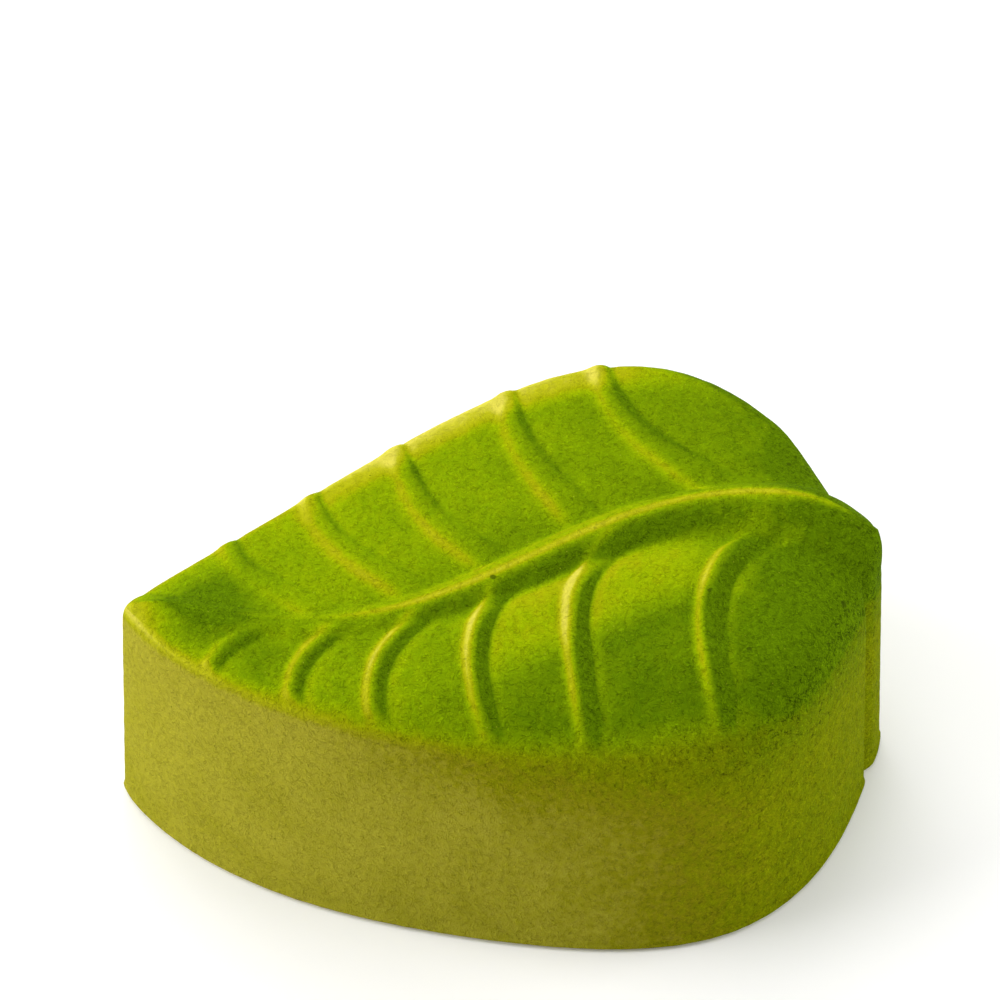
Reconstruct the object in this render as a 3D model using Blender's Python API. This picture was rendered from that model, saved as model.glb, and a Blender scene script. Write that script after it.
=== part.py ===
"""A small mousse cake cast as a leaf and sprayed with matcha velvet.

The cake is one solid piece that rests on its flat base. Its walls lean in a little, as they must to leave the
mould. Its top carries a raised midrib that sways along the leaf. From it run side veins, and between them lie
soft panels, each of which rises from the foot of one vein to the crest of the next.
The tip of the leaf points along -X and its stem end along +X. The front, along -Y, has the wide rounded edge.
The origin is on the base, below the middle of the cake's box.
"""

import math

import bmesh
import bpy
import numpy as np

SIDES = {"front": -1, "back": 1}

# Plan of the leaf. The length is in metres, and the powers shape each side towards the tip and the stem.
LENGTH = 0.0871
WIDTH_FACTOR = {"front": 0.578, "back": 0.540}
TIP_POWER = {"front": 0.690, "back": 0.660}
STEM_POWER = {"front": 4.60, "back": 5.48}
STEM_ROUNDING = 0.849
MIDLINE_SWAY = 0.00247
MIDLINE_POWER = 0.741
MIDRIB_SWAY = 0.0077
MIDRIB_PERIOD = 1.06
MIDRIB_DRIFT = 0.0047
MIDRIB_CROSSING = 0.41

# Heights and edge radii, in metres. Places along the leaf are parts of its length, from the tip.
TIP_HEIGHT = 0.02875
STEM_HEIGHT = 0.0322
STEM_SAG = 0.0023
STEM_SAG_START = 0.90
WALL_LEAN = math.radians(3.0)
TIP_EDGE_RADIUS = 0.0024
BACK_EDGE_RADIUS = 0.0024
FRONT_EDGE_RADIUS = 0.0068
STEM_EDGE_RADIUS = 0.0056
FRONT_EDGE_SPAN = (0.15, 0.75)
BACK_EDGE_SPAN = (0.0, 0.3)
STEM_EDGE_START = {"front": 0.80, "back": 0.90}

# The spine is the line under the midrib where the two halves of the top meet. The mesh lines that fan out
# from it to the rim bend with the side veins.
SPINE_START = 0.075
SPINE_END = 0.865
SPINE_RISE = (0.0012, 0.0002)
SPINE_SETTLED = 0.6
SPINE_POWER = 0.75
FAN_BEND = 0.13

# The front of the top falls towards its rounded edge in a broad shoulder, which fades at both ends.
SHOULDER_TILT = math.radians(28)
SHOULDER_WIDTH = 0.0120
SHOULDER_ROOM = 0.8
SHOULDER_START = (0.15, 0.75)
SHOULDER_END = (0.72, 0.93)
SHOULDER_TURN = 0.0030

# Midrib, in metres: a rope that widens and rises towards the stem end and runs down the wall there, beside a
# groove. The creases at its feet are parts of its rise, and soften at the stem end.
MIDRIB_HALF_WIDTH = (0.0019, 0.0054)
MIDRIB_WIDER = {"front": 1.2, "back": 0.85}
MIDRIB_WIDENING = 2.5
MIDRIB_CREASE = (0.30, 0.8)
MIDRIB_CREASE_SPAN = (0.72, 0.92)
MIDRIB_RISE = (0.0003, 0.0037)
MIDRIB_RISING = 2.0
MIDRIB_RISE_ON_WALL = 0.0008
MIDRIB_SPAN = (-0.02, 1.10)
MIDRIB_POINTS = 61
WALL_SPAN = (0.90, 0.98)
GROOVE_DEPTH = 0.0008
GROOVE_PLACE = 0.0062
GROOVE_HALF_WIDTH = 0.0010

# Side veins: each one's place on the midrib and on the rim, its angles there in degrees to the leaf's length,
# and the width in metres of its stemward slope at the midrib and at the rim.
FRONT_VEINS = (
    (0.878, 0.752, 28, 102, (0.0031, 0.0017)),
    (0.696, 0.577, 28, 92, (0.0026, 0.0016)),
    (0.506, 0.467, 57, 106, (0.0022, 0.0014)),
    (0.405, 0.324, 46, 102, (0.0020, 0.0014)),
    (0.292, 0.224, 40, 102, (0.0018, 0.0012)),
    (0.202, 0.118, 22, 102, (0.0018, 0.0012)),
)
BACK_VEINS = (
    (0.818, 0.666, 43, 94, (0.0046, 0.0012)),
    (0.612, 0.536, 63, 94, (0.0043, 0.0012)),
    (0.504, 0.375, 33, 82, (0.0038, 0.0012)),
    (0.394, 0.263, 43, 93, (0.0034, 0.0012)),
    (0.271, 0.152, 46, 94, (0.0030, 0.0012)),
)
VEIN_BEND = 0.42
VEIN_OVERRUN = 0.008
VEIN_POINTS = 25

# Cross-section of a side vein, in metres: round towards the tip, falling ever more steeply towards the stem,
# with a groove at that foot.
VEIN_RISE = {"front": 0.0006, "back": 0.00018}
VEIN_TIPWARD = {"front": 0.0007, "back": 0.0011}
VEIN_FALL_POWER = {"front": 2.3, "back": 3.0}
VEIN_GROOVE_DEPTH = {"front": 0.00022, "back": 0.00004}
VEIN_GROOVE_HALF_WIDTH = 0.0010
VEIN_SIZE_AT_RIM = {"front": 0.90, "back": 2.60}
VEIN_SIZE_AT_TIP = 0.5
VEIN_MERGING = 0.85

# Panels between the veins. Each dips at its foot by this part of its rise.
PANEL_RISE = {"front": 0.0015, "back": 0.0006}
PANEL_DIP = {"front": 0.22, "back": 0.18}
PANEL_REACH = 0.0040
PANEL_REACH_FROM_MIDRIB = 0.0028
PANEL_FADES = ((0.05, 0.45), (0.85, 1.0))

# Slopes in degrees between which the midrib and the front's veins fade, and the part of the top where all
# veins shrink towards the rim.
TOP_SLOPES = (25, 80)
FRONT_VEIN_SLOPES = (15, 52)
RIM_FADE = (0.4, 1.0)

# Density of the mesh: points round the outline, and rows up the wall, over the edge and across the top.
OUTLINE_POINTS = 264
WALL_ROWS = 1
EDGE_ROWS = 4
TOP_ROWS = 17
FINE_POINTS = 2400
TINY = 1e-6

COLOUR = (0.26, 0.40, 0.01)
ROUGHNESS = 0.9
SHARP_ANGLE = math.radians(50)


def blend(pair, part):
    """Value between the two of the pair, at this part of the way."""
    return pair[0] + (pair[1] - pair[0]) * part


def smooth(value, span):
    """Smooth step from 0 at the start of the span to 1 at its end."""
    step = np.clip((value - span[0]) / (span[1] - span[0]), 0, 1)
    return step * step * (3 - 2 * step)


def ridge(away, half_width_there):
    """Cross-section of a ridge of height one: round on top, fading at its feet."""
    return np.exp(-((away / half_width_there) ** 2))


def rope(away, half_width_there, crease):
    """Cross-section of a rope of height one: an arc, with a soft crease at each foot."""
    arc = 1 - (away / half_width_there) ** 2
    return (arc + np.sqrt(arc**2 + crease**2)) / (1 + np.sqrt(1 + crease**2))


def of_side(sizes, side):
    """The front's or the back's size, by the side that each point is on."""
    return np.where(side < 0, sizes["front"], sizes["back"])


def half_width(part, side):
    """Half width of the base: nearly straight from the tip, round at the stem."""
    width, tip, stem = (of_side(sizes, side) for sizes in (WIDTH_FACTOR, TIP_POWER, STEM_POWER))
    return width * LENGTH * part**tip * (1 - part**stem) ** STEM_ROUNDING


def midline(part):
    """Sideways place of the middle of the base, which sways a little like the midrib."""
    return -MIDLINE_SWAY * np.sin(2 * np.pi * part**MIDLINE_POWER)


def midrib(part):
    """Sideways place of the midrib: one long wave from the tip to the stem end."""
    return -MIDRIB_SWAY * np.sin(2 * np.pi * part / MIDRIB_PERIOD) + MIDRIB_DRIFT * (MIDRIB_CROSSING - part)


def midrib_line(part):
    """Points of the midrib in plan."""
    return np.stack([LENGTH * (part - 0.5), midrib(part)], axis=-1)


def plan(part, side):
    """Points of the base outline at these parts of the length, on this side."""
    return np.stack([LENGTH * (part - 0.5), midline(part) + side * half_width(part, side)], axis=-1)


def edge_height(part):
    """Height of the top where the rounded edge ends. It rises from the tip and sags a little at the stem."""
    rise = blend((TIP_HEIGHT, STEM_HEIGHT), np.sin(np.pi / 2 * part))
    return rise - STEM_SAG * smooth(part, (STEM_SAG_START, 1))


def edge_radius(part, side):
    """Radius of the top edge: crisp along the back, soft at the wide front and at the stem."""
    front = blend((TIP_EDGE_RADIUS, FRONT_EDGE_RADIUS), smooth(part, FRONT_EDGE_SPAN))
    back = blend((TIP_EDGE_RADIUS, BACK_EDGE_RADIUS), smooth(part, BACK_EDGE_SPAN))
    radius = of_side({"front": front, "back": back}, side)
    start = of_side(STEM_EDGE_START, side)
    return blend((radius, STEM_EDGE_RADIUS), smooth(part, (start, 1)))


def shoulder(inside, room, part, side):
    """How far the shoulder lies below the flat top, and its slope as a rise over a run.

    inside is the distance in from where the edge begins to round, and room is that distance at the spine.
    """
    width = SHOULDER_WIDTH * smooth(part, SHOULDER_START) * (1 - smooth(part, SHOULDER_END))
    width = np.minimum(width, SHOULDER_ROOM * room) + TINY
    tallest = of_side({"front": math.tan(SHOULDER_TILT), "back": 0}, side)
    steep = tallest * (1 - ridge(width, SHOULDER_TURN))
    past = np.clip(1 - inside / width, 0, 1)
    return steep * width * past**2 / 2, steep * past


def outline():
    """Parts and sides of equally spaced points, from the stem end along the back and round the tip."""
    angle = np.linspace(0, 2 * np.pi, FINE_POINTS + 1)
    part = (1 + np.cos(angle)) / 2
    points = plan(part, np.where(angle <= np.pi, SIDES["back"], SIDES["front"]))
    travelled = np.concatenate([[0], np.cumsum(np.linalg.norm(np.diff(points, axis=0), axis=1))])
    half = OUTLINE_POINTS // 2
    tip = travelled[FINE_POINTS // 2]
    back = np.linspace(0, tip, half + 1)[:-1]
    front = np.linspace(tip, travelled[-1], half + 1)[:-1]
    angle = np.interp(np.concatenate([back, front]), travelled, angle)
    return (1 + np.cos(angle)) / 2, np.where(angle < np.pi, SIDES["back"], SIDES["front"])


def outward(points):
    """Outward unit normals of a closed outline that runs anticlockwise."""
    along = np.roll(points, -1, axis=0) - np.roll(points, 1, axis=0)
    normal = np.stack([along[:, 1], -along[:, 0]], axis=-1)
    return normal / np.linalg.norm(normal, axis=1, keepdims=True)


def vein(joint, rim, angles, side):
    """Line of one side vein, from the midrib to beyond the rim, as a cubic curve in plan."""
    start = midrib_line(joint)
    end = plan(rim, side)
    reach = VEIN_BEND * np.linalg.norm(end - start)
    leaving, arriving = (np.array([-math.cos(angle), side * math.sin(angle)]) for angle in np.radians(angles))
    way = np.linspace(0, 1, VEIN_POINTS)[:, None]
    line = (
        start * (1 - way) ** 3
        + 3 * (start + reach * leaving) * way * (1 - way) ** 2
        + 3 * (end - reach * arriving) * way**2 * (1 - way)
        + end * way**3
    )
    return np.vstack([line, end + VEIN_OVERRUN * arriving])


def distance(points, line):
    """Distance of each point to a line, below zero on its right, and how far along the line that is."""
    start, step = line[:-1], np.diff(line, axis=0)
    offset = points[:, None, :] - start[None]
    along = np.clip((offset * step).sum(-1) / (step**2).sum(-1), 0, 1)
    away = np.linalg.norm(offset - along[..., None] * step, axis=-1)
    nearest = away.argmin(axis=1)
    row = np.arange(len(points))
    turn = step[nearest, 0] * offset[row, nearest, 1] - step[nearest, 1] * offset[row, nearest, 0]
    away = np.where(turn < 0, -1, 1) * np.maximum(away[row, nearest], TINY)
    return away, (nearest + along[row, nearest]) / len(step)


def panel_rise(part, side):
    """Rise of the panels between the veins. The tip and the stem end have none."""
    return of_side(PANEL_RISE, side) * smooth(part, PANEL_FADES[0]) * (1 - smooth(part, PANEL_FADES[1]))


def relief(points, part, side, tilt, across):
    """How far the surface stands out from the smooth form.

    tilt is the surface's slope, and across runs from 0 at the midrib to 1 where the edge begins to round.
    """
    on_top = 1 - smooth(tilt, np.radians(TOP_SLOPES))
    along = np.clip(points[:, 0] / LENGTH + 0.5, 0, 1)
    at_stem = smooth(part, WALL_SPAN)
    to_left = distance(points, midrib_line(np.linspace(*MIDRIB_SPAN, MIDRIB_POINTS)))[0]
    away = np.abs(to_left)
    width = blend(MIDRIB_HALF_WIDTH, along**MIDRIB_WIDENING) * of_side(MIDRIB_WIDER, to_left)
    rise = blend((MIDRIB_RISE_ON_WALL * at_stem, blend(MIDRIB_RISE, along**MIDRIB_RISING)), on_top)
    rib = rise * rope(away, width, blend(MIDRIB_CREASE, smooth(along, MIDRIB_CREASE_SPAN)))
    wall_groove = GROOVE_DEPTH * at_stem * (1 - on_top) * ridge(away - GROOVE_PLACE, GROOVE_HALF_WIDTH)

    dip, side_ridge, side_groove = np.zeros((3, len(points)))
    for name, veins in (("front", FRONT_VEINS), ("back", BACK_VEINS)):
        for joint, rim, *angles, slopes in veins:
            left_of_vein, way = distance(points, vein(joint, rim, angles, SIDES[name]))
            stemward = -SIDES[name] * left_of_vein
            slope = blend(slopes, way)
            past = stemward - slope
            fallen = np.clip(stemward / slope, 0, 1) ** VEIN_FALL_POWER[name]
            size = blend((VEIN_SIZE_AT_TIP, 1), joint)
            height = np.where(stemward < 0, ridge(stemward, VEIN_TIPWARD[name]), 1 - fallen)
            side_ridge = np.maximum(side_ridge, size * VEIN_RISE[name] * height)
            groove = size * VEIN_GROOVE_DEPTH[name] * ridge(past, VEIN_GROOVE_HALF_WIDTH)
            side_groove = np.maximum(side_groove, groove)
            foot = fallen * ridge(np.maximum(past, 0), PANEL_REACH)
            dip = np.where(side == SIDES[name], 1 - (1 - dip) * (1 - foot), dip)

    on_front = 1 - smooth(tilt, np.radians(FRONT_VEIN_SLOPES))
    weight = of_side({"front": on_front, "back": on_top}, side)
    weight = weight * blend((1, of_side(VEIN_SIZE_AT_RIM, side)), smooth(across, RIM_FADE))
    weight = weight * (1 - ridge(away, VEIN_MERGING * width))
    veins_and_rib = (rib**4 + (weight * side_ridge) ** 4) ** 0.25
    panel = panel_rise(part, side) * (1 - across**2) * (1 - of_side(PANEL_DIP, side) * dip)
    panel = panel * on_top * (1 - ridge(np.maximum(away - width, 0), PANEL_REACH_FROM_MIDRIB))
    return veins_and_rib + panel - weight * side_groove - wall_groove


def rings():
    """Rings of points from the base outline up the wall, over the edge and across the top to the spine."""
    part, side = outline()
    base = plan(part, side)
    normal = outward(base)
    opposite = part[-np.arange(len(part))]
    spine_part = blend((SPINE_START, SPINE_END), ((part + opposite) / 2) ** SPINE_POWER)
    inward = midrib_line(spine_part) - base
    reach = np.linalg.norm(inward, axis=1)
    inward = inward / reach[:, None]
    sideways = np.stack([-normal[:, 1], normal[:, 0]], axis=-1)
    sideways = sideways * (side * FAN_BEND * reach * np.sin(np.pi * part))[:, None]
    facing = np.maximum(-(inward * normal).sum(axis=1), 0.5)
    radius = edge_radius(part, side)
    level = edge_height(part)
    room = reach - radius / facing
    drop, steep = shoulder(0, room, part, side)
    rim = level - drop
    dome = edge_height(spine_part) + blend(SPINE_RISE, smooth(spine_part, (0, SPINE_SETTLED))) - level
    rise = dome + panel_rise(part, side)
    doming = 2 * rise / (reach - (rim * math.tan(WALL_LEAN) + radius) / facing)
    slope = np.arctan(doming + steep)
    centre_height = rim - radius * np.cos(slope)
    centre_inset = centre_height * math.tan(WALL_LEAN) + radius / math.cos(WALL_LEAN)

    def ring(inset, height, tilt, across=1):
        """One ring, this far inside the base outline and this high, with the relief along the normal."""
        way = inset / facing / reach
        bend = (4 * way * (1 - way)) ** 2
        points = base + inward * (way * reach)[:, None] + sideways * bend[:, None]
        out = relief(points, part, side, tilt, across)
        points = points + normal * (out * np.sin(tilt))[:, None]
        return np.column_stack([points, height + out * np.cos(tilt)])

    wall_tilt = math.pi / 2 - WALL_LEAN
    wall_top = centre_height + radius * math.cos(wall_tilt)
    made = []
    for row in range(WALL_ROWS):
        height = wall_top * row / WALL_ROWS
        made.append(ring(height * math.tan(WALL_LEAN), height, wall_tilt + 0 * part))
    made[0][:, 2] = 0
    for row in range(EDGE_ROWS):
        tilt = blend((wall_tilt, slope), row / EDGE_ROWS)
        made.append(ring(centre_inset - radius * np.sin(tilt), centre_height + radius * np.cos(tilt), tilt))
    inset = centre_inset - radius * np.sin(slope)
    for row in range(TOP_ROWS + 1):
        across = 1 - row / TOP_ROWS
        inset_there = blend((reach * facing, inset), across)
        drop, steep = shoulder((inset_there - inset) / facing, room, part, side)
        height = level + dome * (1 - across**2) - drop
        made.append(ring(inset_there, height, np.arctan(doming * across + steep), across))
    made = np.stack(made)
    middle = (made.min(axis=(0, 1)) + made.max(axis=(0, 1))) / 2
    made[..., :2] -= middle[:2]
    return made


def material(name, colour, roughness):
    """Matte Principled material."""
    made = bpy.data.materials.new(name)
    made.use_nodes = True
    shader = made.node_tree.nodes["Principled BSDF"]
    shader.inputs["Base Color"].default_value = (*colour, 1)
    shader.inputs["Roughness"].default_value = roughness
    shader.inputs["Metallic"].default_value = 0
    made.diffuse_color = (*colour, 1)
    return made


def closed_loop(mesh, verts):
    """Edges of the closed loop through these vertices."""
    return [mesh.edges.get(pair) for pair in zip(verts, verts[1:] + verts[:1])]


def build_cake():
    """Fills the base outline, extrudes its edge ring by ring to the spine, and welds the two sides there."""
    mesh = bmesh.new()
    base, *others = rings()
    verts = [mesh.verts.new(point) for point in base]
    mesh.faces.new(reversed(verts))
    for points in others:
        extruded = set(bmesh.ops.extrude_edge_only(mesh, edges=closed_loop(mesh, verts))["geom"])
        neighbours = ([edge.other_vert(vert) for edge in vert.link_edges] for vert in verts)
        verts = [(extruded & set(around)).pop() for around in neighbours]
        for vert, point in zip(verts, points):
            vert.co = point
    bmesh.ops.remove_doubles(mesh, verts=verts, dist=TINY)
    bmesh.ops.recalc_face_normals(mesh, faces=mesh.faces)
    data = bpy.data.meshes.new("leaf_cake")
    mesh.to_mesh(data)
    mesh.free()
    data.shade_smooth()
    data.set_sharp_from_angle(angle=SHARP_ANGLE)
    data.materials.append(material("matcha_velvet", COLOUR, ROUGHNESS))
    cake = bpy.data.objects.new("leaf_cake", data)
    bpy.context.collection.objects.link(cake)


def main():
    """Clears the scene and builds the cake."""
    for item in list(bpy.data.objects):
        bpy.data.objects.remove(item)
    build_cake()


main()
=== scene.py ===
"""A small mousse cake cast as a leaf and sprayed with matcha velvet, on a pale floor in soft studio light.

The leaf's tip points along -X and its stem end along +X. Its wide rounded edge faces the front, along -Y.
Lengths are in metres. Places along the leaf are parts of its length, from 0 at the tip to 1 at the stem end.
"""

import logging
import math
from dataclasses import dataclass, field
from enum import Enum
from typing import Any

import bpy
import numpy as np
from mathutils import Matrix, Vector


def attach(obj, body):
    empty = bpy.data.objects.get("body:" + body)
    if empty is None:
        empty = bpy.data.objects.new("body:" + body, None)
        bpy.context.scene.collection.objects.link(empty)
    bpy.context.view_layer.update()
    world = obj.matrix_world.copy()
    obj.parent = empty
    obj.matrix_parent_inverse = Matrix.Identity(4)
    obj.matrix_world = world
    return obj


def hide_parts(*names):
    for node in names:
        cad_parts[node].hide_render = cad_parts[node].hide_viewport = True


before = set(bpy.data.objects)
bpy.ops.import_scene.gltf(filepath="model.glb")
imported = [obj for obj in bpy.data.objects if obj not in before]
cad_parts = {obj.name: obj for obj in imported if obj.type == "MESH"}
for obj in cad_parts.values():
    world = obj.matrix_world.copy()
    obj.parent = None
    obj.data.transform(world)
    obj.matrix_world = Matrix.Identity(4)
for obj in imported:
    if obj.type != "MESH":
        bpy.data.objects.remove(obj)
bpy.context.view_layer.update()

Array = np.ndarray
Colour = tuple[float, float, float]
Place = tuple[float, float, float]
Stops = tuple[tuple[float, Colour], ...]
LOG = logging.getLogger("leaf_cake")
MERGE = 1e-6


class Side(Enum):
    """The two long sides of the leaf, by the sign of Y."""

    FRONT = -1
    BACK = 1


@dataclass(frozen=True)
class Span:
    """A start and an end, to blend or to fade between."""

    start: Any
    end: Any

    def blend(self, part: Any) -> Any:
        """Value at this part of the way."""
        return self.start + (self.end - self.start) * part

    def fade(self, value: Any) -> Any:
        """Smooth step from 0 at the start to 1 at the end."""
        step = np.clip((value - self.start) / (self.end - self.start), 0, 1)
        return step * step * (3 - 2 * step)


@dataclass(frozen=True)
class BySide:
    """A size that differs between the front and the back."""

    front: float
    back: float

    def at(self, side: Array) -> Array:
        """The size for each point, by the sign of its side."""
        return np.where(side < 0, self.front, self.back)


@dataclass(frozen=True)
class VeinPath:
    """A side vein: its places on the midrib and on the rim, and its angles there in degrees.

    slope is the width of its stemward slope, from the midrib to the rim.
    """

    side: Side
    joint: float
    rim: float
    leaving: float
    arriving: float
    slope: Span


def ridge(away: Array, half_width: Any) -> Array:
    """Cross-section of a ridge of height one: round on top, fading at its feet."""
    return np.exp(-((away / half_width) ** 2))


def rope(away: Array, half_width: Array, crease: Array) -> Array:
    """Cross-section of a rope of height one: an arc, with a soft crease at each foot."""
    arc = 1 - (away / half_width) ** 2
    return (arc + np.sqrt(arc**2 + crease**2)) / (1 + np.sqrt(1 + crease**2))


def distance(points: Array, line: Array) -> tuple[Array, Array]:
    """Distance of each point to a line of straight steps, below zero on the line's right.

    Args:
        points: Places in plan, one a row.
        line: The line's corners in plan, one a row.

    Returns:
        The signed distance of each point, and how far along the line its nearest place is, from 0 to 1.
    """
    start, step = line[:-1], np.diff(line, axis=0)
    offset = points[:, None, :] - start[None]
    along = np.clip((offset * step).sum(-1) / (step**2).sum(-1), 0, 1)
    away = np.linalg.norm(offset - along[..., None] * step, axis=-1)
    nearest = away.argmin(axis=1)
    row = np.arange(len(points))
    turn = step[nearest, 0] * offset[row, nearest, 1] - step[nearest, 1] * offset[row, nearest, 0]
    away = np.where(turn < 0, -1, 1) * np.maximum(away[row, nearest], MERGE)
    return away, (nearest + along[row, nearest]) / len(step)


@dataclass(frozen=True)
class LeafPlan:
    """Outline of the leaf on its base. The powers shape each side towards the tip and towards the stem.

    sway moves the middle of the outline from side to side along its length.
    """

    length: float = 0.0871
    width: BySide = BySide(0.578, 0.540)
    tip_power: BySide = BySide(0.690, 0.660)
    stem_power: BySide = BySide(4.60, 5.48)
    stem_rounding: float = 0.849
    sway: float = 0.00247
    sway_power: float = 0.741
    fine_points: int = 6000

    def point(self, part: Array, side: Array) -> Array:
        """Points of the outline.

        Args:
            part: Parts of the length.
            side: The side of each, by its sign.

        Returns:
            The points in plan, one a row.
        """
        half = self.width.at(side) * self.length * part ** self.tip_power.at(side)
        half = half * (1 - part ** self.stem_power.at(side)) ** self.stem_rounding
        middle = -self.sway * np.sin(2 * np.pi * part**self.sway_power)
        return np.stack([self.length * (part - 0.5), middle + side * half], axis=-1)

    def stations(self, count: int) -> tuple[Array, Array]:
        """Parts and sides of equally spaced points round the outline.

        Args:
            count: How many points there are, half on each side.

        Returns:
            The part of the length and the side of each, from the stem end along the back and round the tip.
        """
        angle = np.linspace(0, 2 * np.pi, self.fine_points + 1)
        part = (1 + np.cos(angle)) / 2
        points = self.point(part, np.where(angle <= np.pi, Side.BACK.value, Side.FRONT.value))
        travelled = np.concatenate([[0], np.cumsum(np.linalg.norm(np.diff(points, axis=0), axis=1))])
        tip = travelled[self.fine_points // 2]
        back = np.linspace(0, tip, count // 2 + 1)[:-1]
        front = np.linspace(tip, travelled[-1], count // 2 + 1)[:-1]
        angle = np.interp(np.concatenate([back, front]), travelled, angle)
        return (1 + np.cos(angle)) / 2, np.where(angle < np.pi, Side.BACK.value, Side.FRONT.value)


@dataclass(frozen=True)
class Midrib:
    """The raised midrib: a long wave that widens and rises towards the stem and runs down the wall there.

    sway, period, drift and crossing shape the wave, and crease softens the midrib's feet. widening and rising
    are powers: the higher they are, the nearer to the stem the midrib grows.
    """

    sway: float = 0.0077
    period: float = 1.06
    drift: float = 0.0047
    crossing: float = 0.41
    half_width: Span = Span(0.0019, 0.0054)
    wider: BySide = BySide(1.2, 0.85)
    widening: float = 2.5
    crease: Span = Span(0.30, 0.8)
    crease_span: Span = Span(0.72, 0.92)
    rise: Span = Span(0.0003, 0.0037)
    rising: float = 2.0
    rise_on_wall: float = 0.0008
    reach: Span = Span(-0.02, 1.10)
    wall_span: Span = Span(0.90, 0.98)
    groove_depth: float = 0.0008
    groove_place: float = 0.0062
    groove_half_width: float = 0.0010
    points: int = 121

    def line(self, part: Array, length: float) -> Array:
        """Points of the midrib in plan at these parts of the length."""
        across = -self.sway * np.sin(2 * np.pi * part / self.period) + self.drift * (self.crossing - part)
        return np.stack([length * (part - 0.5), across], axis=-1)

    def whole(self, length: float) -> Array:
        """The whole midrib in plan, a little beyond both ends."""
        return self.line(np.linspace(self.reach.start, self.reach.end, self.points), length)

    def width(self, along: Array, to_left: Array) -> Array:
        """Half width at these parts of the length, on the side that the signed distance tells."""
        return self.half_width.blend(along**self.widening) * self.wider.at(to_left)

    def height(self, along: Array, to_left: Array, at_stem: Array, on_top: Array) -> Array:
        """Height of the midrib over the smooth form.

        Args:
            along: Parts of the length.
            to_left: Signed distance of each point from the midrib's line.
            at_stem: 1 at the stem end and 0 away from it.
            on_top: 1 on the top and 0 on the walls.

        Returns:
            The height at each point.
        """
        rise = Span(self.rise_on_wall * at_stem, self.rise.blend(along**self.rising)).blend(on_top)
        crease = self.crease.blend(self.crease_span.fade(along))
        return rise * rope(np.abs(to_left), self.width(along, to_left), crease)

    def wall_groove(self, to_left: Array, at_stem: Array, on_top: Array) -> Array:
        """Depth of the grooves beside the midrib on the wall below its end."""
        depth = self.groove_depth * at_stem * (1 - on_top)
        return depth * ridge(np.abs(to_left) - self.groove_place, self.groove_half_width)


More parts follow.
